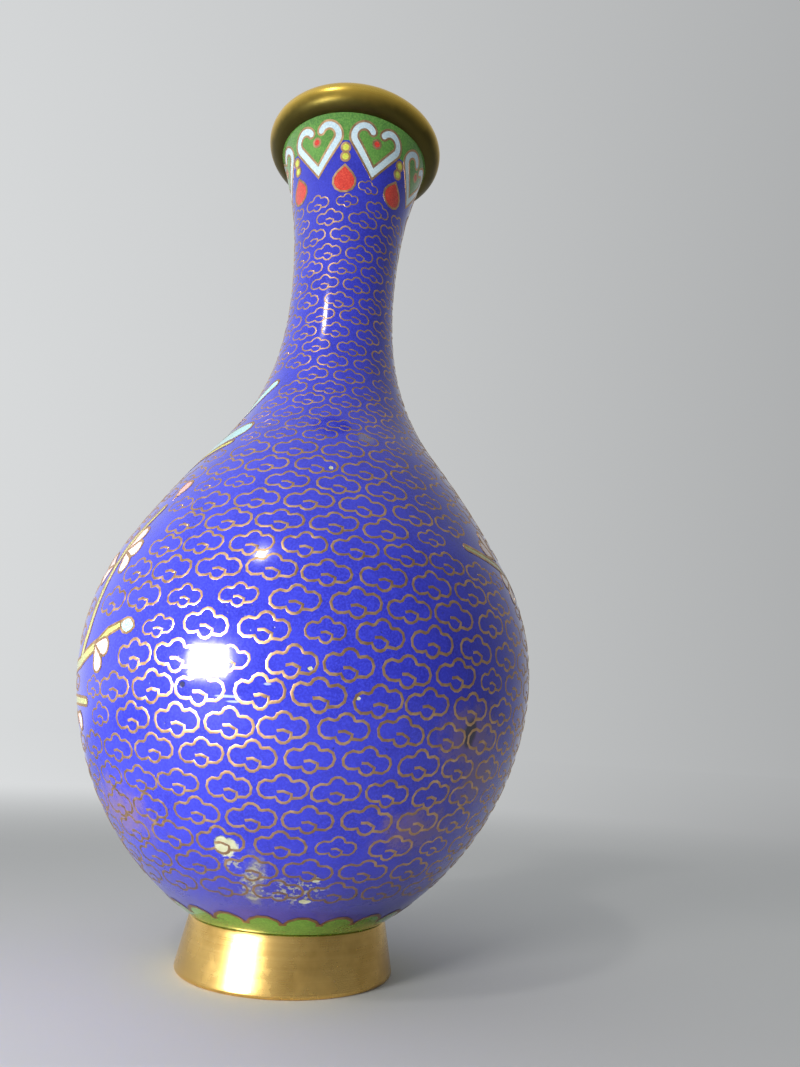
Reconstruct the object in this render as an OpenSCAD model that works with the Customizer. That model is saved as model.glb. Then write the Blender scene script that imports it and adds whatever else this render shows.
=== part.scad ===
// Cloisonne vase: a globe-and-neck bottle raised from copper sheet, trimmed with gilt brass rings and
// coated with enamel that is held in wire cells. The frame stands on z = 0 with the axis on Z.
// An outline is a chain of tangent arcs, and every layer of the wall is an inset of that one outline.

/* [Outline of the vase] */
// Greatest radius of the belly
belly_r = 48.3; // [47:0.1:50]
// Height of the belly's widest line
belly_z = 60.3; // [59.5:0.1:62]
// Radius of the arc just below the widest line
low_arc_r = 52.6; // [50:0.2:55]
// Radius of the long arc that runs in to the foot
base_arc_r = 60.4; // [58:0.2:62]
// Radius of the arc just above the widest line
high_arc_r = 47.6; // [46:0.2:49]
// Radius of the nearly straight shoulder
shoulder_arc_r = 200; // [180:5:220]
// Radius of the hollow curve from the shoulder to the neck
throat_arc_r = 63.3; // [62:0.1:65]
// Radius of the hollow curve below the thinnest part of the neck
neck_arc_r = 100; // [90:1:110]
// Radius of the hollow curve above the thinnest part of the neck
flare_arc_r = 160; // [150:1:170]
// Radius of the hollow curve that opens out to the mouth
mouth_arc_r = 106; // [100:1:110]

/* [Wall] */
// Depth of the enamel on the outside, which is also the height of its wires
enamel_t = 0.8; // [0.6:0.1:1]
// Thickness of the copper sheet
copper_t = 1; // [0.8:0.1:1.2]
// Thickness of the enamel on the inside and under the base
lining_t = 0.4; // [0.3:0.1:0.5]
// Width of a cell wire, seen from outside
wire_w = 0.5; // [0.3:0.05:0.6]
// Height of the brazed lap between two shells
lap_h = 2; // [1:0.5:3]

/* [Rings] */
// Outer radius of the mouth ring
ring_r = 22.5; // [22:0.1:23]
// Radius of the mouth ring's rounded section
ring_section_r = 3.7; // [3.4:0.1:4]
// Radius of the mouth opening
mouth_r = 16.3; // [16:0.1:16.6]
// Total height
total_h = 200; // [199:0.5:201]
// Height of the foot ring
foot_h = 10.4; // [10:0.1:11]
// Radius of the foot ring where it stands
foot_r = 21.9; // [21.5:0.1:23]
// Radius of the foot ring at its top
foot_top_r = 20; // [19.8:0.1:20.5]

/* [Collar below the mouth] */
// Number of cloud-collar heads around the neck
head_count = 7; // [7:1:7]
// Angle of the pendant nearest the front
pendant_angle = -8.5; // [-12:0.5:12]
// Height of the heads' tips
head_tip_z = 178.6; // [178:0.1:179]
// Height of the middle of a head's curls
curl_z = 187.8; // [187.5:0.1:188.2]
// Width of the pale band that draws a head
head_band_w = 1.9; // [1.6:0.1:2]
// Height of the green collar's edge between two heads
collar_edge_z = 186; // [185.5:0.1:186.5]

/* [Scalloped border above the foot] */
// Number of scallops, an even number
scallop_count = 22; // [20:2:24]
// Height of a scallop's top
scallop_top_z = 14.6; // [14.2:0.1:15]
// Angle of the scallop nearest the front
scallop_angle = 6; // [-8:0.5:8]

/* [Flowering branch] */
// Length of a petal
petal_l = 4.2; // [3.8:0.1:4.6]
// Radius of a petal's round end
petal_r = 1.7; // [1.5:0.05:1.9]

/* [Hidden] */
$fn = 96;

wide = 2 * belly_r;
shell_in = enamel_t + copper_t;
lining_in = shell_in + lining_t;
half_lap = enamel_t + copper_t / 2;
hair = wire_w / 2;

// Each arc is [radius, angle of the outward normal where it ends]. A radius below zero is hollow.
down_arcs = [[low_arc_r, -10], [base_arc_r, -68]];
up_arcs = [[high_arc_r, 28.6], [shoulder_arc_r, 37.2], [-throat_arc_r, 9.2], [-neck_arc_r, 0],
    [-flare_arc_r, -6], [-mouth_arc_r, -21]];

function normal(a) = [cos(a), sin(a)];
function next_point(arc, p, a) = p + arc[0] * (normal(arc[1]) - normal(a));
// Where the arcs of a chain meet: a list of [point, angle of the normal]
function joints(arcs, p, a, i = 0) = i == len(arcs) ? [[p, a]]
    : concat([[p, a]], joints(arcs, next_point(arcs[i], p, a), arcs[i][1], i + 1));

widest = [belly_r, belly_z];
down_joints = joints(down_arcs, widest, 0);
up_joints = joints(up_arcs, widest, 0);

// An arc is divided so that its chords stay within chord_error of it
chord_error = 0.06;
function pieces(arc, from_a) = ceil(abs(arc[1] - from_a) / (2 * acos(1 - chord_error / abs(arc[0]))));
function arc_point(arc, joint, a, t) = next_point([arc[0], a], joint[0], joint[1]) - t * normal(a);
// Points [radius, height] along a chain at an inset t from the outside, without the chain's first
function chain_points(chain, chain_joints, t) = [for (i = [0:len(chain) - 1])
    let (arc = chain[i], j = chain_joints[i], n = pieces(arc, j[1]))
        for (k = [1:n]) arc_point(arc, j, j[1] + (arc[1] - j[1]) * k / n, t)];
function reversed(list) = [for (i = [len(list) - 1:-1:0]) list[i]];
function wall_points(t) = concat(reversed(chain_points(down_arcs, down_joints, t)),
    [widest - [t, 0]], chain_points(up_arcs, up_joints, t));
function radius_at(points, z) = lookup(z, [for (p = points) [p[1], p[0]]]);
// The stretch of the wall between two heights
function curve(t, low, high) = let (points = wall_points(t)) concat(
    [[radius_at(points, low), low]], [for (p = points) if (p[1] > low && p[1] < high) p],
    [[radius_at(points, high), high]]);

outside = wall_points(0);
function outside_r(z) = radius_at(outside, z);

// Heights at which the shells are brazed together
belly_joint_z = belly_z - 1;
neck_joint_z = 112;
shell_top_z = 195.6;
ring_centre = [ring_r - ring_section_r, total_h - ring_section_r];
flange_t = 1.2;
foot_bore_r = 18.4;
flange_r = 16.6;
plate_z = foot_h - flange_t - copper_t;
foot_edge = 0.4;
foot_wall_low = 1.5;

// ---- Layers of the wall, drawn in the plane of radius and height

module layer(t_out, t_in, low, high) {
    polygon(concat(curve(t_out, low, high), reversed(curve(t_in, low, high))));
}

module ring_section() {
    intersection() {
        translate(ring_centre) circle(ring_section_r);
        translate([mouth_r, 0]) square([wide, 2 * total_h]);
    }
}

module skin_section(low, high) {
    difference() {
        layer(0, enamel_t, low, high);
        ring_section();
    }
}

module skin(low, high) {
    rotate_extrude() skin_section(low, high);
}

// ---- Metal body

// The lower shell ends in a lip of half its thickness, on which the next shell sits
module lower_shell() {
    lap_top = belly_joint_z + lap_h;
    color("#b5703c") rotate_extrude() polygon(concat(
        curve(enamel_t, foot_h, belly_joint_z), curve(half_lap, belly_joint_z, lap_top),
        reversed(curve(shell_in, foot_h, lap_top))));
}

module shoulder_shell() {
    belly_lap_top = belly_joint_z + lap_h;
    neck_lap_top = neck_joint_z + lap_h;
    color("#b97642") rotate_extrude() polygon(concat(
        curve(enamel_t, belly_joint_z, neck_joint_z), curve(half_lap, neck_joint_z, neck_lap_top),
        reversed(curve(shell_in, belly_lap_top, neck_lap_top)),
        reversed(curve(half_lap, belly_joint_z, belly_lap_top))));
}

module neck_shell() {
    neck_lap_top = neck_joint_z + lap_h;
    color("#b5703c") rotate_extrude() polygon(concat(
        curve(enamel_t, neck_joint_z, shell_top_z),
        reversed(curve(shell_in, neck_lap_top, shell_top_z)),
        reversed(curve(half_lap, neck_joint_z, neck_lap_top))));
}

module base_plate() {
    color("#b5703c") translate([0, 0, plate_z]) cylinder(h = copper_t, r = foot_bore_r);
}

module foot_ring() {
    color("#d8a848") rotate_extrude() polygon([
        [foot_r - foot_edge, 0], [foot_r, foot_edge], [foot_top_r, foot_h], [flange_r, foot_h],
        [flange_r, foot_h - flange_t], [foot_bore_r, foot_h - flange_t],
        [foot_bore_r, foot_edge + foot_wall_low], [foot_r - foot_wall_low, foot_edge],
        [foot_r - foot_wall_low + foot_edge, 0]
    ]);
}

module mouth_ring() {
    color("#d8a848") rotate_extrude() difference() {
        ring_section();
        layer(enamel_t, shell_in, neck_joint_z, shell_top_z);
    }
}

// ---- Plain enamel: inside, under the base, and the blue ground

module inner_enamel() {
    floor_z = foot_h - flange_t;
    inner_r = flange_r - lining_t;
    color("#7fb8c4") rotate_extrude() difference() {
        polygon(concat(
            [[0, floor_z], [flange_r, floor_z]], curve(shell_in, foot_h, ring_centre[1]),
            reversed(curve(lining_in, foot_h + lining_t, ring_centre[1])),
            [[inner_r, floor_z + lining_t], [0, floor_z + lining_t]]));
        ring_section();
    }
}

module base_enamel() {
    color("#3c46b4") translate([0, 0, plate_z - lining_t]) cylinder(h = lining_t, r = foot_bore_r);
}

// ---- Flat outlines of the cells. grow widens an outline evenly, for the wire around it.

module on_wall(angle, near, far) {
    rotate([0, 0, angle]) rotate([90, 0, 0]) translate([0, 0, near]) linear_extrude(far - near)
        children();
}

// The part of the vase on both sides of an angle
module sector(angle, half) {
    linear_extrude(total_h) polygon([[0, 0], 2 * wide * [sin(angle - half), -cos(angle - half)],
        2 * wide * [sin(angle + half), -cos(angle + half)]]);
}

function arc_points(c, r, from_a, to_a, n) = [for (k = [0:n])
    c + r * normal(from_a + (to_a - from_a) * k / n)];

// A round end of radius r, whose centre is l away from the point where the sides meet
module drop(l, r, grow) {
    half = asin(r / l);
    polygon(concat([[0, -grow / sin(half)]], arc_points([0, l], r + grow, -half, 180 + half, 9)));
}

// A leaf of length l and width w that comes to a point at both ends
module leaf(l, w, grow) {
    r = (l * l + w * w) / (4 * w);
    half = acos((r - w / 2) / (r + grow));
    polygon(concat(arc_points([w / 2 - r, l / 2], r + grow, -half, half, 5),
        arc_points([r - w / 2, l / 2], r + grow, 180 - half, 180 + half, 5)));
}

// ---- Collar: heads drawn by a pale band, a green ground, and pendants between the heads

head_pitch = 360 / head_count;
neck_near = 12;
neck_far = 26;
curl_centre = [3.45, curl_z];
curl_r = 2.35;
curl_end = 148;
band_tip = [0, head_tip_z + head_band_w / 2];
// The straight side of a head leaves its tip and runs tangent to the curl
tip_to_curl = curl_centre - band_tip;
side_angle = atan2(tip_to_curl[1], tip_to_curl[0]) - asin(curl_r / norm(tip_to_curl));

function half_band(half_w) = concat(
    arc_points(curl_centre, curl_r + half_w, side_angle - 90, curl_end, 16),
    arc_points(curl_centre + curl_r * normal(curl_end), half_w, curl_end, curl_end + 180, 6),
    arc_points(curl_centre, curl_r - half_w, curl_end, side_angle - 90, 16));
function mirrored(points) = [for (p = points) [-p[0], p[1]]];

module head_band(grow) {
    half_w = head_band_w / 2 + grow;
    rise = [0, half_w / cos(side_angle)];
    side = half_band(half_w);
    polygon(concat([band_tip - rise], side, [band_tip + rise], reversed(mirrored(side))));
}

module head_field() {
    top_x = curl_centre[0];
    shoulder = curl_centre + curl_r * normal(side_angle - 90);
    polygon([band_tip, shoulder, [top_x, curl_z], [top_x, total_h], [-top_x, total_h],
        [-top_x, curl_z], [-shoulder[0], shoulder[1]]]);
}

dot_r = 0.95;
dot_z = 186.6;
bead_r = 1.05;
bead_z = [184.6, 182.4];
drop_tip_z = 180.4;
drop_l = 3.9;
drop_r = 2.8;

module dot(grow) {
    translate([0, dot_z]) circle(dot_r + grow);
}

module beads(grow) {
    for (z = bead_z) translate([0, z]) circle(bead_r + grow);
}

module hanging_drop(grow) {
    translate([0, drop_tip_z]) rotate(180) drop(drop_l, drop_r, grow);
}

collar_low = 172;

module each_head() {
    for (k = [0.5:head_count]) on_wall(pendant_angle + head_pitch * k, neck_near, neck_far)
        children();
}

module each_pendant() {
    for (k = [0:head_count - 1]) on_wall(pendant_angle + head_pitch * k, neck_near, neck_far)
        children();
}

module collar_skin() {
    skin(collar_low, total_h);
}

module above(z) {
    translate([-wide / 2, z]) square([wide, total_h]);
}

module collar_enamel() {
    color("#4d9a3a") intersection() {
        collar_skin();
        for (k = [0.5:head_count]) {
            angle = pendant_angle + head_pitch * k;
            intersection() {
                sector(angle, head_pitch / 2);
                on_wall(angle, neck_near, neck_far) difference() {
                    union() {
                        head_field();
                        above(collar_edge_z + hair);
                    }
                    head_band(hair);
                    dot(hair);
                }
            }
        }
    }
}

module head_enamel() {
    color("#c9e4ee") intersection() {
        collar_skin();
        each_head() head_band(-hair);
    }
}

module head_dots() {
    color("#c8402c") intersection() {
        collar_skin();
        each_head() dot(-hair);
    }
}

module pendant_beads() {
    color("#cfd24a") intersection() {
        collar_skin();
        each_pendant() beads(-hair);
    }
}

module pendant_drops() {
    color("#d8322c") intersection() {
        collar_skin();
        each_pendant() hanging_drop(-hair);
    }
}

module head_wires() {
    color("#c08a50") intersection() {
        collar_skin();
        each_head() {
            difference() {
                head_band(hair);
                head_band(-hair);
            }
            difference() {
                dot(hair);
                dot(-hair);
            }
        }
    }
}

module pendant_wires() {
    color("#c08a50") intersection() {
        collar_skin();
        each_pendant() difference() {
            union() {
                beads(hair);
                hanging_drop(hair);
            }
            beads(-hair);
            hanging_drop(-hair);
        }
    }
}

module collar_cut() {
    each_head() {
        head_band(hair);
        head_field();
    }
    each_pendant() {
        beads(hair);
        hanging_drop(hair);
    }
}

// ---- Scalloped border: a band with a scallop standing on it in each of its sectors

scallop_r = 4.6;
scallop_steps = 7;
scallop_high = 16.5;
scallop_pitch = 360 / scallop_count;
valley_z = 13;
// The angles about the axis of the gap between two scallops and of a wire at its side
valley_gap = 1;
wire_angle = 1.2;

// The border up to its outline. grow moves the outline, and gap is the angle between two scallops.
module border(grow, gap) {
    translate([0, 0, foot_h - 2]) cylinder(h = valley_z + grow - foot_h + 2, r = belly_r);
    for (k = [0:scallop_count - 1]) intersection() {
        angle = scallop_angle + k * scallop_pitch;
        sector(angle, (scallop_pitch - gap) / 2);
        on_wall(angle, 12, 36) polygon(arc_points([0, scallop_top_z - scallop_r],
            scallop_r + grow, 10, 170, scallop_steps));
    }
}

module scallop_enamel() {
    color("#5c9a34") intersection() {
        skin(foot_h, scallop_high);
        border(-wire_w, valley_gap + 2 * wire_angle);
    }
}

module scallop_wire() {
    color("#c08a50") intersection() {
        skin(foot_h, scallop_high);
        difference() {
            border(0, valley_gap);
            border(-wire_w, valley_gap + 2 * wire_angle);
        }
    }
}

// ---- Flowering branch, with a bird above it, on the side away from the front.
// A place on the wall is [angle, height]. A branch is a row of [angle, height, width].

branches = [
    [[120, 25, 3.4], [140, 33, 3.2], [162, 40, 3.1], [186, 45, 2.9], [210, 47, 2.7],
        [236, 49, 2.6], [262, 53, 2.4], [280, 56, 2.2], [294, 57, 2.1]],
    [[294, 57, 2.1], [298, 63, 1.9], [300, 71, 1.7], [302, 80, 1.6], [307, 88, 1.4]],
    [[294, 57, 2.1], [306, 60, 1.8], [310, 62, 1.5], [316, 63.4, 1.2]],
    [[262, 53, 2.1], [276, 50.5, 1.8], [290, 50, 1.6], [300, 49.5, 1.5]],
    [[140, 33, 3], [128, 47, 2.4], [112, 59, 2.1], [96, 69, 1.8], [78, 77, 1.6],
        [60, 82, 1.4], [42, 83.4, 1.2]],
    [[186, 45, 2.6], [180, 59, 2.1], [188, 73, 1.8], [182, 87, 1.5], [192, 100, 1.3]],
    [[236, 49, 2.1], [240, 62, 1.8], [232, 75, 1.5], [238, 87, 1.3]],
    [[210, 47, 2.1], [216, 37, 1.8], [229, 33, 1.4]],
    [[112, 59, 1.8], [104, 50, 1.5], [90, 45, 1.3]]
];
// Open blossoms: [angle, height, turn]
blossoms = [[170, 67, 0], [205, 62, 20], [150, 50, 10], [250, 70, 30], [222, 84, 15],
    [106, 76, 5], [190, 95.5, 10], [130, 62, 25], [232, 36, 0]];
// Blossoms seen from the side: [angle, height, turn, number of petals]
side_blossoms = [[303, 78.5, -90, 3], [299, 76, 92, 2], [304, 60, -125, 2], [288, 47.5, -110, 1],
    [60, 84, 48, 2], [66, 80.2, 125, 2], [87, 45, 80, 3], [173, 89, 40, 2]];
// Closed buds: [angle, height, turn]
buds = [[309, 90, -15], [240, 89, -10], [221, 34.9, 180], [118, 24, 120]];
// Leaves: [angle, height, turn, length]
leaves = [[314.5, 63.2, -100, 4], [192, 101, -20, 7], [150, 38, 40, 8], [222, 49, 15, 8],
    [268, 55, 30, 7], [120, 54, -60, 7], [76, 78, 20, 7], [96, 70, 150, 8], [180, 44, -160, 8]];
bird = [[248, 96.5, 6], [258, 98.4, 8.4], [277, 101.5, 7]];
wing = [[270, 105, 6], [290, 116, 4], [311, 122.6, 2.4]];
tail = [[284, 102.8, 6.4], [304, 107, 5.2], [314, 108.4, 4.4]];
breast = [[282, 98.6, 1.6], [302, 103, 1.4], [314, 104.7, 1.2]];

petal_spread = 50;
centre_r = 1.1;
bud_l = 2.8;
bud_r = 1.6;
leaf_w = 2.8;
motif_low = 20;
motif_high = 128;
sector_middles = [60, 100, 140, 180, 220, 260, 300];
sector_half = 20;
// How far outside a sector a shape's middle may lie and still reach into it
reach = 9;

function near_sector(angle, middle) = abs(angle - middle) < sector_half + reach;
function flat_place(p, middle) = [outside_r(p[1]) * sin(p[0] - middle), p[1]];

module stroke(p, q, middle, grow) {
    a = flat_place(p, middle);
    b = flat_place(q, middle);
    half_a = p[2] / 2 + grow;
    half_b = q[2] / 2 + grow;
    turn = atan2(b[1] - a[1], b[0] - a[0]);
    polygon(concat(arc_points(b, half_b, turn - 90, turn + 90, 5),
        arc_points(a, half_a, turn + 90, turn + 270, 5)));
}

module stroke_path(path, middle, grow) {
    for (i = [0:len(path) - 2])
        if (near_sector(path[i][0], middle) || near_sector(path[i + 1][0], middle))
            stroke(path[i], path[i + 1], middle, grow);
}

module placed(p, middle) {
    if (near_sector(p[0], middle)) translate(flat_place(p, middle)) rotate(p[2]) children();
}

module petals(count, spread, grow) {
    for (i = [0:count - 1]) rotate((i - (count - 1) / 2) * spread) drop(petal_l, petal_r, grow);
}

module flowers(middle, grow) {
    for (p = blossoms) placed(p, middle) petals(5, 72, grow);
    for (p = side_blossoms) placed(p, middle) petals(p[3], petal_spread, grow);
}

module centres(middle, grow) {
    for (p = blossoms) placed(p, middle) circle(centre_r + grow);
}

module closed_buds(middle, grow) {
    for (p = buds) placed(p, middle) drop(bud_l, bud_r, grow);
}

module foliage(middle, grow) {
    for (p = leaves) placed(p, middle) leaf(p[3], leaf_w, grow);
}

module twigs(middle, grow) {
    for (path = branches) stroke_path(path, middle, grow);
}

module motif(middle, grow) {
    twigs(middle, grow);
    foliage(middle, grow);
    closed_buds(middle, grow);
    flowers(middle, grow);
    for (path = [bird, wing, tail, breast]) stroke_path(path, middle, grow);
}

// The enamel cells, each kind cut back by what lies over it
module petal_cells(middle) {
    difference() {
        flowers(middle, -hair);
        centres(middle, hair);
    }
}

module bud_cells(middle) {
    difference() {
        closed_buds(middle, -hair);
        flowers(middle, hair);
    }
}

module leaf_cells(middle) {
    difference() {
        foliage(middle, -hair);
        flowers(middle, hair);
        closed_buds(middle, hair);
    }
}

module twig_cells(middle) {
    difference() {
        twigs(middle, -hair);
        flowers(middle, hair);
        closed_buds(middle, hair);
        foliage(middle, hair);
    }
}

module bird_cells(middle) {
    stroke_path(bird, middle, -hair);
}

module wing_cells(middle) {
    difference() {
        stroke_path(wing, middle, -hair);
        stroke_path(bird, middle, hair);
    }
}

module tail_cells(middle) {
    difference() {
        stroke_path(tail, middle, -hair);
        stroke_path(bird, middle, hair);
        stroke_path(wing, middle, hair);
    }
}

module breast_cells(middle) {
    difference() {
        stroke_path(breast, middle, -hair);
        stroke_path(bird, middle, hair);
        stroke_path(tail, middle, hair);
    }
}

function places(paths) = [for (path = paths) for (p = path) p];
// The middles of the sectors that any of the places lies in or near
function sectors_of(list) = [for (m = sector_middles)
    if (len([for (p = list) if (near_sector(p[0], m)) p]) > 0) m];

module motif_sectors(list) {
    for ($middle = sectors_of(list)) intersection() {
        skin(motif_low, motif_high);
        sector($middle, sector_half);
        on_wall($middle, 12, 58) children();
    }
}

module branch_enamel() {
    color("#b9bf4c") motif_sectors(places(branches)) twig_cells($middle);
}

module blossom_enamel() {
    color("#efd9d6") motif_sectors(concat(blossoms, side_blossoms)) petal_cells($middle);
}

module blossom_centres() {
    color("#d9c04a") motif_sectors(blossoms) centres($middle, -hair);
}

module bud_enamel() {
    color("#e4a9a4") motif_sectors(buds) bud_cells($middle);
}

module leaf_enamel() {
    color("#9fd0d6") motif_sectors(leaves) leaf_cells($middle);
}

module bird_body_enamel() {
    color("#5aa9c4") motif_sectors(bird) bird_cells($middle);
}

module bird_wing_enamel() {
    color("#a9dbe0") motif_sectors(wing) wing_cells($middle);
}

module bird_tail_enamel() {
    color("#b5e0e2") motif_sectors(tail) tail_cells($middle);
}

module bird_breast_enamel() {
    color("#c3cc6a") motif_sectors(breast) breast_cells($middle);
}

module motif_wires() {
    color("#c08a50") motif_sectors(places(branches)) difference() {
        motif($middle, hair);
        petal_cells($middle);
        centres($middle, -hair);
        bud_cells($middle);
        leaf_cells($middle);
        twig_cells($middle);
        bird_cells($middle);
        wing_cells($middle);
        tail_cells($middle);
        breast_cells($middle);
    }
}

// ---- The blue ground fills what the other cells leave

module ground_enamel() {
    color("#2a2fc0") difference() {
        skin(foot_h, collar_edge_z - hair);
        border(0, valley_gap);
        collar_cut();
        for (m = sector_middles) intersection() {
            sector(m, sector_half);
            on_wall(m, 12, 58) motif(m, hair);
        }
    }
}

lower_shell();
shoulder_shell();
neck_shell();
base_plate();
foot_ring();
mouth_ring();
inner_enamel();
base_enamel();
ground_enamel();
collar_enamel();
head_enamel();
head_dots();
pendant_beads();
pendant_drops();
head_wires();
pendant_wires();
scallop_enamel();
scallop_wire();
branch_enamel();
blossom_enamel();
blossom_centres();
bud_enamel();
leaf_enamel();
bird_body_enamel();
bird_wing_enamel();
bird_tail_enamel();
bird_breast_enamel();
motif_wires();
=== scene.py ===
import math
import random

import bmesh
import bpy
from mathutils import Matrix, Vector
from mathutils.bvhtree import BVHTree


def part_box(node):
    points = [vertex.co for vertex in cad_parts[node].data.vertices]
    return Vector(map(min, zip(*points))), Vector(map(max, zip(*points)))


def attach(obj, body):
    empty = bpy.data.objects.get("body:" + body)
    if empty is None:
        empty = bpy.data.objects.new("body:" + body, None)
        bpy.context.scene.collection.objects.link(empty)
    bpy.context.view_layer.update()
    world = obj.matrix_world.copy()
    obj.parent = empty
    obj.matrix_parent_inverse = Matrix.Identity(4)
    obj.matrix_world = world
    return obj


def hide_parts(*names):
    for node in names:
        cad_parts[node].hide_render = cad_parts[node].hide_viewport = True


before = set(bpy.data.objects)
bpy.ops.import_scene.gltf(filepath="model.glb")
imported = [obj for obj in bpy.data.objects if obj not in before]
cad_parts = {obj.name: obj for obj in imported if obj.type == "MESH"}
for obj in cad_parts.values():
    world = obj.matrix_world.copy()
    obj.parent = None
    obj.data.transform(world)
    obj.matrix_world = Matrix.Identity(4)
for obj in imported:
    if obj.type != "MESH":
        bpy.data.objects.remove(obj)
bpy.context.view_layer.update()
MM = 0.001

# ---- Camera. It stands low in front of the vase, close to it, and looks up along the belly
# to the mouth, turned a little to the right and rolled a little anticlockwise.
EYE = (0, -0.1815, 0.0451)
PAN, PITCH, ROLL = 0.1002, 0.2587, 0.0622

forward = Vector((math.sin(PAN) * math.cos(PITCH), math.cos(PAN) * math.cos(PITCH),
                  math.sin(PITCH)))
level_right = Vector((math.cos(PAN), -math.sin(PAN), 0))
level_up = level_right.cross(forward)
camera_x = math.cos(ROLL) * level_right + math.sin(ROLL) * level_up
camera_y = math.cos(ROLL) * level_up - math.sin(ROLL) * level_right
camera = bpy.data.objects.new("camera", bpy.data.cameras.new("camera"))
camera.matrix_world = (Matrix.Translation(EYE)
                       @ Matrix((camera_x, camera_y, -forward)).transposed().to_4x4())
camera.data.sensor_fit = "AUTO"
camera.data.sensor_width = 36
camera.data.lens = 26.99
camera.data.clip_start = 0.005
bpy.context.scene.collection.objects.link(camera)
bpy.context.scene.camera = camera
bpy.context.scene.view_settings.view_transform = "Standard"


# ---- Floor and light. A pale floor that runs out into the pale surroundings, a window-like
# softbox to the left of the camera, and a smaller one above it.
class Socket:
    """A socket of a node tree, on which sums are written as on a number."""

    def __init__(self, tree, socket):
        self.tree, self.socket = tree, socket

    def node(self, kind, settings, inputs, output=0):
        made = self.tree.nodes.new("ShaderNode" + kind)
        for key, value in settings.items():
            setattr(made, key, value)
        for key, value in inputs.items():
            if isinstance(value, Socket):
                self.tree.links.new(value.socket, made.inputs[key])
            else:
                made.inputs[key].default_value = value
        return Socket(self.tree, made.outputs[output])

    def math(self, operation, a, b=0.0):
        return self.node("Math", {"operation": operation}, {0: a, 1: b})

    def __add__(self, other):
        return self.math("ADD", self, other)

    def __sub__(self, other):
        return self.math("SUBTRACT", self, other)

    def __rsub__(self, other):
        return self.math("SUBTRACT", other, self)

    def __mul__(self, other):
        return self.math("MULTIPLY", self, other)

    def __truediv__(self, other):
        return self.math("DIVIDE", self, other)

    def __pow__(self, other):
        return self.math("POWER", self, other)

    __radd__, __rmul__ = __add__, __mul__

    def most(self, other):
        return self.math("MAXIMUM", self, other)

    def along(self, direction):
        return self.node("VectorMath", {"operation": "DOT_PRODUCT"},
                         {0: self, 1: direction}, "Value")

    def grain(self, scale, detail=2.0, rough=0.5):
        return self.node("TexNoise", {"noise_dimensions": "3D"},
                         {"Vector": self, "Scale": scale, "Detail": detail, "Roughness": rough})

    def step(self, low, high):
        """0 below low and 1 above high, with a soft change between them."""
        return self.node("MapRange", {"interpolation_type": "SMOOTHSTEP"},
                         {"Value": self, "From Min": low, "From Max": high})

    def tint(self, colour_a, colour_b):
        """colour_a where this value is 0, and colour_b where it is 1."""
        a, b = [c if isinstance(c, Socket) else (*c, 1) for c in (colour_a, colour_b)]
        return self.node("Mix", {"data_type": "RGBA"}, {0: self, 6: a, 7: b}, 2)

    def relief(self, depth):
        """A normal from this value as a height, where 1 stands depth metres proud."""
        return self.node("Bump", {}, {"Height": self, "Distance": depth, "Strength": 1.0})


class Finish:
    """A material with its shader, and the place on the object that its pattern follows."""

    def __init__(self, name, **constants):
        self.material = bpy.data.materials.new(name)
        self.material.use_nodes = True
        tree = self.material.node_tree
        self.shader = tree.nodes["Principled BSDF"]
        self.set(constants)
        coordinates = tree.nodes.new("ShaderNodeTexCoord")
        self.place = Socket(tree, coordinates.outputs["Object"])

    def set(self, values):
        for key, value in values.items():
            target = self.shader.inputs[key.replace("_", " ").title().replace("Ior", "IOR")]
            if isinstance(value, Socket):
                value.tree.links.new(value.socket, target)
            elif isinstance(value, tuple):
                target.default_value = (*value, 1)
            else:
                target.default_value = value


SURROUND = (0.97, 0.99, 1.0)
LEVEL, FALL = 0.50, 0.32
SHADED = (0.9, -0.35, 0)
FLOOR_R, FLOOR_INNER_R = 5.0, 1.5
FADE = (0.14, 0.55)

# The surroundings are lighter on the side of the window, and dimmer towards SHADED, on the right
world = bpy.data.worlds.new("pale surroundings")
world.use_nodes = True
background = world.node_tree.nodes["Background"]
background.inputs["Color"].default_value = (*SURROUND, 1)
coordinates = world.node_tree.nodes.new("ShaderNodeTexCoord")
sky = Socket(world.node_tree, coordinates.outputs["Generated"])
world.node_tree.links.new((LEVEL - FALL * sky.along(SHADED)).socket, background.inputs["Strength"])
bpy.context.scene.world = world


def make_piece(name, bm, finish, slot=None, stands_for=(), smooth=None, outward=False):
    """A mesh object at the origin. It is part of the vase when it has a slot. outward says that
    its faces already point the right way."""
    if not outward:
        bmesh.ops.recalc_face_normals(bm, faces=bm.faces)
    if smooth is not None:
        for face in bm.faces:
            face.smooth = True
        for edge in bm.edges:
            edge.smooth = len(edge.link_faces) == 2 and edge.calc_face_angle() < smooth
    mesh = bpy.data.meshes.new(name)
    bm.to_mesh(mesh)
    bm.free()
    piece = bpy.data.objects.new(name, mesh)
    bpy.context.scene.collection.objects.link(piece)
    mesh.materials.append(finish.material)
    if slot:
        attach(piece, "root")
        if stands_for:
            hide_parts(*stands_for)
    return piece


def coat(node, finish):
    """Gives a node of the frame that stays visible its material."""
    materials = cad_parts[node].data.materials
    materials.clear()
    materials.append(finish.material)


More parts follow.
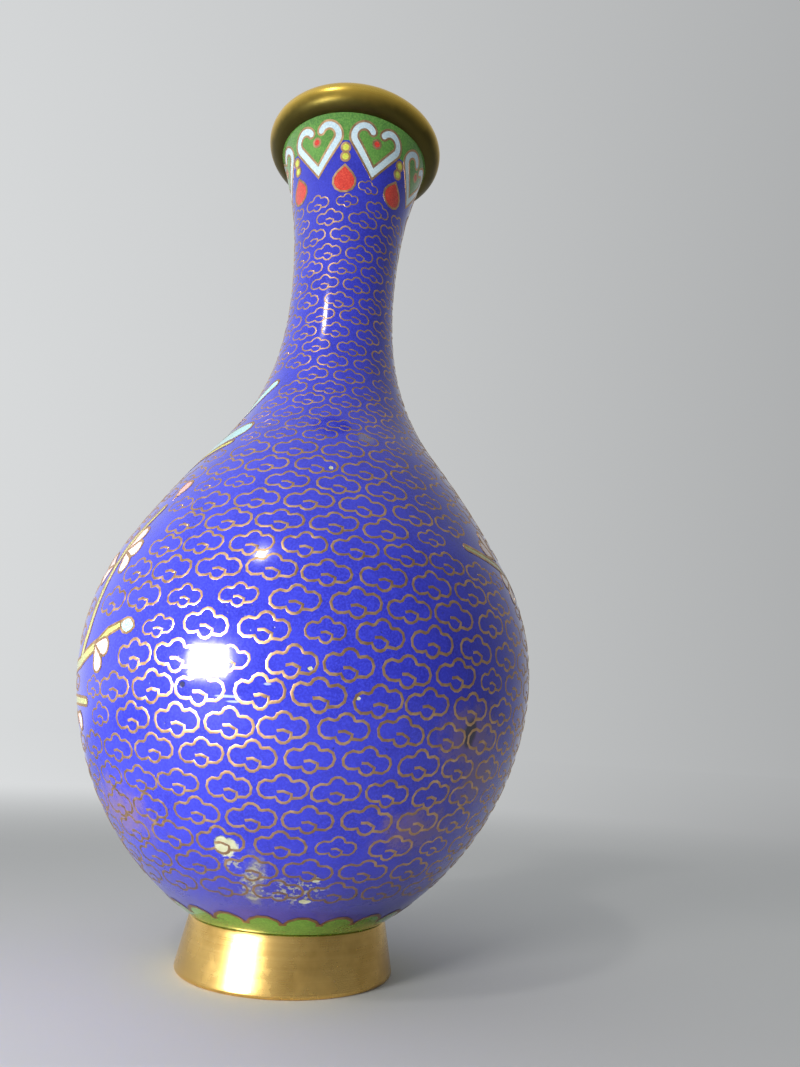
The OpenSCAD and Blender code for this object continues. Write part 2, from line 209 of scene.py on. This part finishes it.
floor_finish = Finish("pale floor", roughness=0.75)
distance = floor_finish.place.node("VectorMath", {"operation": "LENGTH"},
                                   {0: floor_finish.place}, "Value")
mottle = floor_finish.place.grain(9.0, 3.0)
floor_finish.set({"base_color": mottle.tint((0.60, 0.61, 0.61), (0.63, 0.64, 0.64))})
# Past FADE the floor becomes a painted glow in the surroundings' colour. The glow is painted
# brighter on the window side and darker towards SHADED, as the surroundings light it.
sideways = floor_finish.place.along(SHADED) / distance
painted_far_glow = distance.node("Emission", {}, {"Color": (*SURROUND, 1),
                                           "Strength": LEVEL - FALL * sideways})
floor_shader = Socket(floor_finish.place.tree, floor_finish.shader.outputs[0])
blended = distance.node("MixShader", {}, {0: distance.step(*FADE), 1: floor_shader, 2: painted_far_glow})
output = floor_finish.material.node_tree.nodes["Material Output"]
floor_finish.material.node_tree.links.new(blended.socket, output.inputs["Surface"])
bm = bmesh.new()
bmesh.ops.create_circle(bm, cap_ends=True, radius=FLOOR_R, segments=64)
bmesh.ops.inset_region(bm, faces=bm.faces, thickness=FLOOR_R - FLOOR_INNER_R)
make_piece("floor", bm, floor_finish)


def softbox(name, middle, side, rise, away, width, height, power, spread, colour):
    """An area light that faces a point of the vase. side is measured from the front to the left,
    and spread is the angle that its light stays within."""
    side, rise = math.radians(side), math.radians(rise)
    middle = Vector(middle)
    towards = Vector((-math.sin(side) * math.cos(rise), -math.cos(side) * math.cos(rise),
                      math.sin(rise)))
    light = bpy.data.lights.new(name, "AREA")
    light.shape = "RECTANGLE"
    light.size, light.size_y = width, height
    light.energy = power
    light.spread = math.radians(spread)
    light.color = colour
    lamp = bpy.data.objects.new(name, light)
    lamp.matrix_world = (Matrix.Translation(middle + away * towards)
                         @ towards.to_track_quat("Z", "Y").to_matrix().to_4x4())
    lamp.visible_camera = False
    bpy.context.scene.collection.objects.link(lamp)


softbox("window", (-0.017, -0.045, 0.0575), side=48, rise=-2.3, away=0.24,
        width=0.083, height=0.052, power=0.29, spread=90, colour=(1.0, 0.98, 0.95))
softbox("upper window", (-0.01, -0.03, 0.08), side=37, rise=47, away=0.70,
        width=0.05, height=0.07, power=0.55, spread=180, colour=(1.0, 0.97, 0.94))


# ---- Copper body. Three shells spun from copper sheet are brazed together with half laps, and a
# plate closes the base. The enamel covers them, so only their fired copper colour matters.
copper = Finish("fired copper", metallic=1.0)
fire_scale = copper.place.grain(90.0, 5.0)
copper.set({
    "base_color": fire_scale.step(0.35, 0.7).tint((0.62, 0.30, 0.17), (0.30, 0.13, 0.09)),
    "roughness": 0.35 + 0.3 * fire_scale,
    "normal": copper.place.grain(700.0, 3.0).relief(0.02 * MM)})
for name in ("lower_shell", "shoulder_shell", "neck_shell", "base_plate"):
    coat(name, copper)

# ---- Outline of the vase. Every coat of the wall is an inset of one chain of tangent arcs, which
# starts at the widest line. Each arc is (radius, angle of its outward normal where it ends).
WIDEST = (48.3, 60.3)
DOWN_ARCS = ((52.6, -10), (60.4, -68))
UP_ARCS = ((47.6, 28.6), (200, 37.2), (-63.3, 9.2), (-100, 0), (-160, -6), (-106, -21))
ARC_STEP = 0.6


def chain(arcs):
    """Points (radius, height, angle of the normal, arc length) from the widest line, in mm."""
    radius, height = WIDEST
    angle, length, points = 0.0, 0.0, []
    for arc_r, end in arcs:
        end = math.radians(end)
        steps = max(2, round(abs(arc_r * (end - angle)) / ARC_STEP))
        for k in range(1, steps + 1):
            a = angle + (end - angle) * k / steps
            points.append((radius + arc_r * (math.cos(a) - math.cos(angle)),
                           height + arc_r * (math.sin(a) - math.sin(angle)), a,
                           length + arc_r * (a - angle)))
        radius, height, angle, length = points[-1]
    return points


outline = chain(DOWN_ARCS)[::-1] + [(*WIDEST, 0.0, 0.0)] + chain(UP_ARCS)


def on_outline(value, column):
    """The outline point at a height (column 1) or at an arc length (column 3)."""
    low, high = 0, len(outline) - 1
    while high - low > 1:
        half = (low + high) // 2
        if outline[half][column] > value:
            high = half
        else:
            low = half
    a, b = outline[low], outline[high]
    t = (value - a[column]) / (b[column] - a[column])
    return [p + (q - p) * t for p, q in zip(a, b)]


def on_wall(angle, length, proud):
    """A point in metres. angle runs from the front towards the right, in radians."""
    radius, height, normal, _ = on_outline(length, 3)
    radius += proud * math.cos(normal)
    height += proud * math.sin(normal)
    return Vector((radius * math.sin(angle), -radius * math.cos(angle), height)) * MM


# ---- Gilt brass rings. The foot is a tapered ring turned from brass, and the mouth is a bent
# round rod. Both are soldered over the edges of the copper, polished on the lathe and gilded.
RING_SIDES = 192


def gilt(name, thin, thick, shade_full_z, shade_free_z):
    """Polished gilding of two colours with lathe lines around the axis, tarnished brown in clouds.
    A painted shade, with a painted dark green reflection, darkens it from shade_free_z down to
    shade_full_z, in mm."""
    finish = Finish(name, metallic=1.0)
    x, y, z = [finish.place.along(axis) for axis in ((1, 0, 0), (0, 1, 0), (0, 0, 1))]
    radius = (x * x + y * y) ** 0.5
    around = finish.place.node("CombineXYZ", {}, {0: radius, 1: 0.0, 2: z})
    lines = around.grain(3800.0, 3.0, 0.7)
    cuts = around.grain(900.0, 2.0)
    smudge = finish.place.grain(75.0, 4.0, 0.6)
    rub = finish.place.grain(260.0, 3.0)
    tarnish = smudge.step(0.45, 0.75) * 0.6
    gold = lines.tint(thin, thick)
    # Painted shade: the lower side of the ring is painted green-black, as a painted shadow and a
    # painted reflection of the green collar. On the foot it only touches the bottom edge.
    painted_underside_shade = (1 - (z / MM + 3.0 * smudge).step(shade_full_z + 1.5, shade_free_z + 1.5)) * 0.92
    finish.set({
        "base_color": painted_underside_shade.tint(tarnish.tint(gold, (0.40, 0.22, 0.04)), (0.030, 0.034, 0.012)),
        "roughness": (0.17 + 0.12 * smudge + 0.10 * rub.step(0.45, 0.75) + 0.06 * lines
                      + 0.15 * painted_underside_shade),
        "normal": (lines * 0.5 + cuts * 0.35 + rub * 0.6).relief(0.012 * MM)})
    return finish


def turned(name, profile, finish, slot, node, bevels=()):
    """A ring spun from a closed profile of (radius, height) in mm, whose corners are rounded.
    bevels gives (corner number, radius of the rounding in mm)."""
    bm = bmesh.new()
    corners = [bm.verts.new((r * MM, 0, z * MM)) for r, z in profile]
    bm.faces.new(corners)
    for corner, size in bevels:
        bmesh.ops.bevel(bm, geom=[corners[corner]], offset=size * MM, affect="VERTICES",
                        segments=5, profile=0.5, material=-1)
    section = list(bm.verts) + list(bm.edges)
    for face in list(bm.faces):
        bm.faces.remove(face)
    bmesh.ops.spin(bm, geom=section, cent=(0, 0, 0), axis=(0, 0, 1), angle=2 * math.pi,
                   steps=RING_SIDES, use_merge=True)
    bmesh.ops.remove_doubles(bm, verts=bm.verts, dist=0.001 * MM)
    make_piece(name, bm, finish, slot, (node,), smooth=math.radians(40))


foot_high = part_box("foot_ring")[1] / MM
mouth_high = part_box("mouth_ring")[1] / MM
FOOT_TOP_R = 20.0
FOOT_BORE_R = 18.4
FLANGE_R = 16.6
FLANGE_T = 1.2
foot_r, foot_h = foot_high.x, foot_high.z
turned("foot_ring_turned", [
    (foot_r - 0.4, 0), (foot_r, 0.4), (foot_r - 0.35, 2.4), (FOOT_TOP_R + 0.1, foot_h - 0.9),
    (FOOT_TOP_R - 0.15, foot_h), (FLANGE_R, foot_h), (FLANGE_R, foot_h - FLANGE_T),
    (FOOT_BORE_R, foot_h - FLANGE_T), (FOOT_BORE_R, 1.9), (foot_r - 1.5, 0.4), (foot_r - 1.1, 0)],
    gilt("gilt foot", (0.74, 0.46, 0.12), (0.88, 0.60, 0.21), -3.0, -1.0),
    "gilt_brass", "foot_ring", ((0, 0.25), (1, 0.3), (2, 1.5), (4, 0.4)))

ROD_R = 3.7
MOUTH_BORE_R = 16.3
ROD_STEPS = 40
rod_r, rod_z = mouth_high.x - ROD_R, mouth_high.z - ROD_R
half_flat = math.acos((MOUTH_BORE_R - rod_r) / ROD_R)
turned("mouth_ring_turned", [
    (rod_r + ROD_R * math.cos(a), rod_z + ROD_R * math.sin(a))
    for a in [-half_flat + 2 * half_flat * k / ROD_STEPS for k in range(ROD_STEPS + 1)]],
    # The mouth ring's painted shade and reflection run from 196.8 mm down to 193.4 mm.
    gilt("gilt mouth", (0.84, 0.53, 0.07), (0.98, 0.70, 0.14), 193.4, 196.8),
    "gilt_brass", "mouth_ring")

# ---- Counter-enamel. The inside of the vase and the underside of the base are coated with thin
# plain enamel that keeps the copper from warping. It is fired but never polished.
def counter_enamel(name, colour, dull):
    finish = Finish(name, ior=1.5)
    cloudy = finish.place.grain(120.0, 4.0, 0.6)
    pits = finish.place.node("TexVoronoi", {}, {"Vector": finish.place, "Scale": 650.0}, "Distance")
    pit = 1 - pits.step(0.05, 0.16)
    finish.set({
        "base_color": (pit * 0.8).tint(cloudy.step(0.3, 0.7).tint(dull, colour), (0.03, 0.05, 0.06)),
        "roughness": 0.32 + 0.25 * cloudy,
        "normal": (finish.place.grain(420.0, 3.0) - pit * 0.8).relief(0.06 * MM)})
    return finish


for name, finish in (
        ("inner_enamel", counter_enamel("lining enamel", (0.24, 0.50, 0.58), (0.16, 0.38, 0.48))),
        ("base_enamel", counter_enamel("base enamel", (0.05, 0.07, 0.36), (0.03, 0.05, 0.24)))):
    coat(name, finish)


# ---- Blue ground. Ultramarine glass enamel fills the space between the cells, ground and polished
# flush with the wires. It has pinholes, and chips and stains low down, where the vase was knocked.
ENAMEL_ROUGH = 0.13


def enamel(name, colour, deep, pale):
    """Polished glass enamel: uneven colour, pinholes and fine polishing marks."""
    finish = Finish(name, ior=1.52, coat_weight=0.5, coat_roughness=0.06)
    place = finish.place
    cloudy = place.grain(140.0, 4.0, 0.6)
    grains = place.grain(2600.0, 2.0, 0.6)
    holes = place.node("TexVoronoi", {}, {"Vector": place, "Scale": 520.0}, "Distance")
    pinhole = (1 - holes.step(0.05, 0.13)) * place.grain(60.0, 2.0).step(0.48, 0.62)
    body = grains.step(0.35, 0.75).tint(cloudy.step(0.3, 0.7).tint(deep, colour), pale)
    finish.colour = (pinhole * 0.75).tint(body, tuple(0.25 * c for c in deep))
    finish.rough = ENAMEL_ROUGH + 0.10 * cloudy.step(0.4, 0.8) + 0.3 * pinhole
    finish.height = place.grain(55.0, 2.0) * 0.5 + place.grain(310.0, 3.0) * 0.12 - pinhole * 0.4
    return finish


def fire(finish):
    """Joins an enamel's colour, gloss and relief to its shader."""
    finish.set({"base_color": finish.colour, "roughness": finish.rough,
                "normal": finish.height.relief(0.10 * MM)})
    return finish


# Half the depth of a patch, in mm
SPOT_DEEP = 9


def spot(finish, angle, height, wide, high, ragged, fade=0.3):
    """1 inside a ragged patch of the wall at an angle and a height, and 0 outside it."""
    radius, height_mm, _, _ = on_outline(height, 1)
    a = math.radians(angle)
    place = finish.place
    u = place.along((math.cos(a) / (wide * MM), math.sin(a) / (wide * MM), 0))
    v = place.along((0, 0, 1 / (high * MM))) - height_mm / high
    outward = (math.sin(a) / (SPOT_DEEP * MM), -math.cos(a) / (SPOT_DEEP * MM), 0)
    n = place.along(outward) - radius / SPOT_DEEP
    far = (u * u + v * v + n * n) ** 0.5 + finish.torn_edge * (4 * ragged)
    return 1 - far.step(1 - fade, 1 + fade)


ground = enamel("ultramarine enamel", (0.024, 0.030, 0.50), (0.014, 0.017, 0.38),
                (0.036, 0.047, 0.60))
ground.torn_edge = ground.place.grain(420.0, 4.0, 0.65) - 0.5
# Each flaw is (kind, angle, height, half width, half height) in degrees and mm
FLAWS = {
    "chip": ((-18, 27, 2.1, 1.5), (7, 22, 0.8, 0.5), (5, 17.8, 1.1, 0.4),
             (0, 56.4, 0.45, 0.35), (10, 52.2, 0.4, 0.3), (1, 96, 0.4, 0.4)),
    "stain": ((-10.5, 22.5, 1.8, 3.0), (-12, 18.5, 1.3, 1.5), (15, 106, 1.6, 1.3)),
    "flake": ((1.5, 19.4, 4.0, 2.2), (-11, 21, 2.4, 3.4), (7, 20.5, 2.2, 1.2), (-17, 24, 2.0, 1.2)),
    "haze": ((40, 47, 6.5, 5.0), (31, 31, 6.0, 3.2), (-52, 31, 7.0, 4.0), (46, 40, 6.0, 4.0)),
    "pit": ((-26, 52.8, 0.55, 0.5), (39, 48, 1.6, 2.4), (22, 19, 0.4, 0.3)),
    "scratch": ((-16, 51.2, 2.0, 0.22), (-14.5, 50.4, 1.3, 0.18), (-8, 53.5, 0.6, 0.2)),
}


def flaws(kind, **shape):
    """1 where the ground has any flaw of a kind, and 0 elsewhere."""
    worst = None
    for at in FLAWS[kind]:
        mask = spot(ground, *at, **shape)
        worst = mask if worst is None else worst.most(mask)
    return worst


haze = flaws("haze", ragged=0.8, fade=0.7) * 0.62
stain = flaws("stain", ragged=0.6, fade=0.5) * 0.62
flake = flaws("flake", ragged=0.5, fade=0.4) * ground.place.grain(1300.0, 3.0).step(0.50, 0.58)
scratch = flaws("scratch", ragged=0.3) * 0.6
pit = flaws("pit", ragged=0.2)
chip = flaws("chip", ragged=0.36, fade=0.15)
broken = ground.place.grain(900.0, 3.0)
low_height = ground.place.along((0, 0, 1 / MM)) + 8 * ground.torn_edge
grubby = (1 - low_height.step(14, 27)) * 0.45
ground.colour = grubby.tint(ground.colour, (0.055, 0.045, 0.16))
ground.colour = haze.tint(ground.colour, (0.20, 0.12, 0.19))
ground.colour = stain.tint(ground.colour, (0.20, 0.19, 0.17))
ground.colour = (flake * 0.8).tint(ground.colour, (0.36, 0.36, 0.24))
ground.colour = scratch.tint(ground.colour, (0.45, 0.55, 0.72))
ground.colour = (pit * 0.9).tint(ground.colour, (0.012, 0.012, 0.03))
ground.colour = chip.tint(ground.colour, broken.tint((0.36, 0.38, 0.20), (0.62, 0.64, 0.46)))
ground.rough = ground.rough + (haze + stain + scratch + chip + flake + grubby) * 0.35
ground.height = ground.height - chip * (1.2 + broken) - pit * 1.5 - stain * broken - flake * 0.5
fire(ground)

GROUND_INSET = 0.07
ENAMEL_T = 0.8
ground_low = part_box("lower_shell")[0].z / MM
ground_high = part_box("neck_shell")[1].z / MM
rows = [p for p in outline if ground_low < p[1] < ground_high][::2]
rows = [on_outline(ground_low, 1)] + rows + [on_outline(ground_high, 1)]
bm = bmesh.new()
section = []
for inset, part in ((GROUND_INSET, rows), (ENAMEL_T, rows[::-4] + [rows[0]])):
    for radius, height, normal, _ in part:
        section.append(bm.verts.new(((radius - inset * math.cos(normal)) * MM, 0,
                                     (height - inset * math.sin(normal)) * MM)))
loop = [bm.edges.new((a, b)) for a, b in zip(section, section[1:] + section[:1])]
bmesh.ops.spin(bm, geom=section + loop, cent=(0, 0, 0), axis=(0, 0, 1), angle=2 * math.pi,
               steps=RING_SIDES, use_merge=True)
bmesh.ops.remove_doubles(bm, verts=bm.verts, dist=0.001 * MM)
make_piece("blue_ground", bm, ground, "ground_blue", ("ground_enamel",), smooth=math.radians(35))


# ---- Wire cells of the collar, the scallops, the branch and the bird. Flat copper wire on edge is
# bent to each outline and fired to the body, then filled with enamel, polished and gilded.
# Vertices up to FACE_DEPTH mm below the outline are on the polished side, and FACE_TURN is the
# least cosine between the wall's normal and that of a face there.
FACE_DEPTH = 0.25
FACE_TURN = 0.7


def polished(node, name, finish, slot, inset):
    """A cell or its wire with its face brought to the smooth curve of the wall."""
    bm = bmesh.new()
    bm.from_mesh(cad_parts[node].data)
    bmesh.ops.remove_doubles(bm, verts=bm.verts, dist=0.002 * MM)
    bm.verts.index_update()
    walls = {}
    for vertex in bm.verts:
        radius = math.hypot(vertex.co.x, vertex.co.y) / MM
        out, height, normal, _ = on_outline(vertex.co.z / MM, 1)
        if (out - radius) * math.cos(normal) < FACE_DEPTH:
            grow = (out - inset / math.cos(normal)) / radius
            vertex.co.x *= grow
            vertex.co.y *= grow
            flat = math.cos(normal) / (radius * MM * grow)
            walls[vertex.index] = Vector((vertex.co.x * flat, vertex.co.y * flat, math.sin(normal)))
    bm.normal_update()
    mesh = make_piece(name, bm, finish, slot, (node,), smooth=0.0, outward=True).data
    normals = []
    for face in mesh.polygons:
        turned_out = all(v in walls and walls[v].dot(face.normal) > FACE_TURN
                         for v in face.vertices)
        normals += [walls[v] if turned_out else face.normal.copy() for v in face.vertices]
    mesh.normals_split_custom_set(normals)


wire = Finish("gilt wire", metallic=1.0)
worn = wire.place.grain(700.0, 3.0)
dull = wire.place.grain(55.0, 3.0)
wire_height = wire.place.along((0, 0, 1 / MM))
rubbed = worn.step(0.35, 0.75).tint(
    dull.step(0.35, 0.65).tint((0.60, 0.37, 0.20), (0.43, 0.26, 0.14)), (0.76, 0.51, 0.29))
wire.set({
    "base_color": ((1 - wire_height.step(15, 30)) * 0.6).tint(rubbed, (0.22, 0.15, 0.15)),
    "roughness": 0.30 + 0.22 * worn,
    "normal": wire.place.grain(1800.0, 2.0).relief(0.01 * MM)})

green = fire(enamel(
    "leaf green enamel", (0.10, 0.30, 0.045), (0.055, 0.20, 0.03), (0.17, 0.40, 0.07)))
cloud_white = fire(enamel(
    "cloud white enamel", (0.60, 0.78, 0.86), (0.46, 0.66, 0.78), (0.72, 0.87, 0.92)))
coral = fire(enamel(
    "coral red enamel", (0.66, 0.035, 0.022), (0.50, 0.02, 0.015), (0.78, 0.09, 0.05)))
yellow = fire(enamel(
    "bead yellow enamel", (0.62, 0.68, 0.06), (0.50, 0.54, 0.04), (0.76, 0.82, 0.16)))
twig = fire(enamel(
    "twig green enamel", (0.44, 0.47, 0.10), (0.28, 0.32, 0.06), (0.60, 0.62, 0.22)))
pink = fire(enamel(
    "petal pink enamel", (0.76, 0.60, 0.58), (0.72, 0.42, 0.42), (0.90, 0.82, 0.80)))
bud_pink = fire(enamel(
    "bud pink enamel", (0.66, 0.34, 0.34), (0.55, 0.20, 0.21), (0.78, 0.50, 0.48)))
turquoise = fire(enamel(
    "turquoise enamel", (0.32, 0.66, 0.70), (0.20, 0.50, 0.56), (0.55, 0.82, 0.84)))
kingfisher = fire(enamel(
    "kingfisher enamel", (0.06, 0.32, 0.46), (0.03, 0.20, 0.34), (0.16, 0.48, 0.60)))

CELLS = (
    ("collar_enamel", "collar_cells", green, "leaf_green"),
    ("head_enamel", "cloud_heads", cloud_white, "cloud_white"),
    ("head_dots", "red_dots", coral, "coral_red"),
    ("pendant_beads", "yellow_beads", yellow, "bead_yellow"),
    ("pendant_drops", "red_drops", coral, "coral_red"),
    ("scallop_enamel", "scallop_cells", green, "leaf_green"),
    ("branch_enamel", "branch_cells", twig, "twig_green"),
    ("blossom_enamel", "petal_cells", pink, "petal_pink"),
    ("blossom_centres", "flower_hearts", yellow, "bead_yellow"),
    ("bud_enamel", "bud_cells", bud_pink, "bud_pink"),
    ("leaf_enamel", "leaf_cells", turquoise, "leaf_turquoise"),
    ("bird_body_enamel", "bird_body", kingfisher, "bird_blue"),
    ("bird_wing_enamel", "bird_wing", turquoise, "leaf_turquoise"),
    ("bird_tail_enamel", "bird_tail", turquoise, "leaf_turquoise"),
    ("bird_breast_enamel", "bird_breast", yellow, "bead_yellow"))
WIRES = (("head_wires", "cloud_head_wires"), ("pendant_wires", "pendant_outline_wires"),
         ("scallop_wire", "scallop_outline_wires"), ("motif_wires", "branch_outline_wires"))
CELL_INSET = 0.03
for node, name, finish, slot in CELLS:
    polished(node, name, finish, slot, CELL_INSET)
for node, name in WIRES:
    polished(node, name, wire, "wire", 0.0)

# ---- Cloud wires. Some six hundred short wires are bent by hand into the same small cloud,
# and stand in staggered rows all over the blue ground. No two come out alike.
# Each arc of the bend is (centre x, centre y, radius, from angle, to angle, steps) in mm
BENDS = (
    (2.70, -0.05, 1.70, -110, 118, 6), (0.15, 1.15, 1.50, 14, 166, 5),
    (-2.60, -0.20, 1.70, 62, 290, 6), (0.10, -1.15, 1.45, 196, 375, 6),
    (-0.05, -2.30, 1.95, 52, 118, 2))
WIRE_W = 1.0
WIRE_DEPTH = 0.14
path = [Vector((1.5, -1.7))]
for x, y, r, start, end, steps in BENDS:
    for k in range(steps + 1):
        a = math.radians(start + (end - start) * k / steps)
        point = Vector((x + r * math.cos(a), y + r * math.sin(a)))
        if (point - path[-1]).length > 0.3:
            path.append(point)


def section_frame(k):
    """The place and turn of the wire's section at point k of the bend."""
    ahead = (path[min(k + 1, len(path) - 1)] - path[max(k - 1, 0)]).normalized()
    across = Vector((-ahead.y, ahead.x, 0))
    turn = Matrix((Vector((ahead.x, ahead.y, 0)), across, Vector((0, 0, 1)))).transposed().to_4x4()
    return Matrix.Translation((path[k].x, path[k].y, 0)) @ turn


bm = bmesh.new()
corners = [bm.verts.new(p) for p in ((0, WIRE_W / 2, -WIRE_DEPTH), (0, -WIRE_W / 2, -WIRE_DEPTH),
                                     (0, 0, 0))]
end_face = bm.faces.new(corners)
bmesh.ops.transform(bm, matrix=section_frame(0), verts=corners)
for k in range(1, len(path)):
    last_face = end_face
    made = bmesh.ops.extrude_face_region(bm, geom=[last_face])["geom"]
    end_face = [g for g in made if isinstance(g, bmesh.types.BMFace)][0]
    if k > 1:
        bm.faces.remove(last_face)
    bmesh.ops.transform(bm, matrix=section_frame(k) @ section_frame(k - 1).inverted(),
                        verts=list(end_face.verts))
bmesh.ops.recalc_face_normals(bm, faces=bm.faces)
bent = bpy.data.meshes.new("bent wire")
bm.to_mesh(bent)
bm.free()
bent_points = [v.co.copy() for v in bent.vertices]

cell_points, cell_faces = [], []
for node in [row[0] for row in CELLS + WIRES]:
    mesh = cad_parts[node].data
    cell_faces += [[len(cell_points) + v for v in face.vertices] for face in mesh.polygons]
    cell_points += [v.co for v in mesh.vertices]
covered = BVHTree.FromPolygons(cell_points, cell_faces)


def is_free(points, angle, length, size):
    """Whether a cloud there keeps clear of every other cell."""
    radius = on_outline(length, 3)[0]
    for point in points:
        at = angle + size * point.x / radius
        start = on_wall(at, length + size * point.y, 2.0)
        inward = on_wall(at, length + size * point.y, 0.0) - start
        if covered.ray_cast(start, inward, 3.0 * MM)[0]:
            return False
    return True


draw = random.Random(11)
ROW_PITCH = 5.3
NECK_ROW_PITCH = 4.35
NECK_Z = 105.0
TOP_Z = 178.5
EVEN_ROW_Z = 57.5
FRONT_CLOUD = -4.0
CLOUD_PITCH, NECK_CLOUD_PITCH = 9.9, 8.3
NECK_SIZE = 0.93
BELLY_Z = (35, 80)
BELLY_CLOUDS = 30
SMALL_SHARE, SMALL_SIZE = 0.06, 0.78
# Where a cloud is tried until it is free, as (turn in radians, mm up, size)
TRIES = ((0, 0, 1.0), (0, 0, 0.8), (0.05, 0, 0.75), (-0.05, 0, 0.75), (0, 1.0, 0.62),
         (0, -1.0, 0.62), (0.07, 0.6, 0.58), (-0.07, -0.6, 0.58))
probe = [Vector((1.22 * p.x, 1.15 * p.y)) for p in path[::2]] + [Vector((0, 0))]
bm = bmesh.new()
length = on_outline(EVEN_ROW_Z, 1)[3] - 8 * ROW_PITCH
row = 0
while on_outline(length, 3)[1] < TOP_Z:
    radius, height, _, _ = on_outline(length, 3)
    neck = height > NECK_Z
    wide = NECK_CLOUD_PITCH if neck else CLOUD_PITCH
    belly = BELLY_Z[0] < height < BELLY_Z[1]
    count = BELLY_CLOUDS if belly else round(2 * math.pi * radius / wide)
    size = min(1.0, 2 * math.pi * radius / count / CLOUD_PITCH) * (NECK_SIZE if neck else 1.0)
    front = FRONT_CLOUD + (row % 2) * 180 / count
    for k in range(count):
        angle = math.radians(front + 360 * k / count + draw.uniform(-0.5, 0.5))
        at = length + draw.uniform(-0.25, 0.25)
        turn = Matrix.Rotation(math.radians(draw.gauss(0, 3.0)), 2)
        stretch = Vector((draw.uniform(0.96, 1.06), draw.uniform(0.97, 1.10)))
        sway = [draw.uniform(-0.16, 0.16) for _ in range(4)]
        here = size * (SMALL_SIZE if draw.random() < SMALL_SHARE else 1.0)
        for aside, up, smaller in TRIES:
            if is_free(probe, angle + aside, at + up, here * smaller):
                break
        else:
            continue
        here *= smaller
        first = len(bm.verts)
        bm.from_mesh(bent)
        bm.verts.ensure_lookup_table()
        for vertex, flat in zip(bm.verts[first:], bent_points):
            u = flat.x + sway[0] * math.sin(flat.y + 3 * sway[1])
            v = flat.y + sway[2] * math.sin(0.8 * flat.x + 9 * sway[3])
            u, v = turn @ Vector((u * stretch.x, v * stretch.y))
            u, v = u * here, v * here
            vertex.co = on_wall(angle + aside + u / radius, at + up + v, flat.z)
    row += 1
    length += NECK_ROW_PITCH if neck else ROW_PITCH
make_piece("cloud_wires", bm, wire, "wire", smooth=math.radians(50))
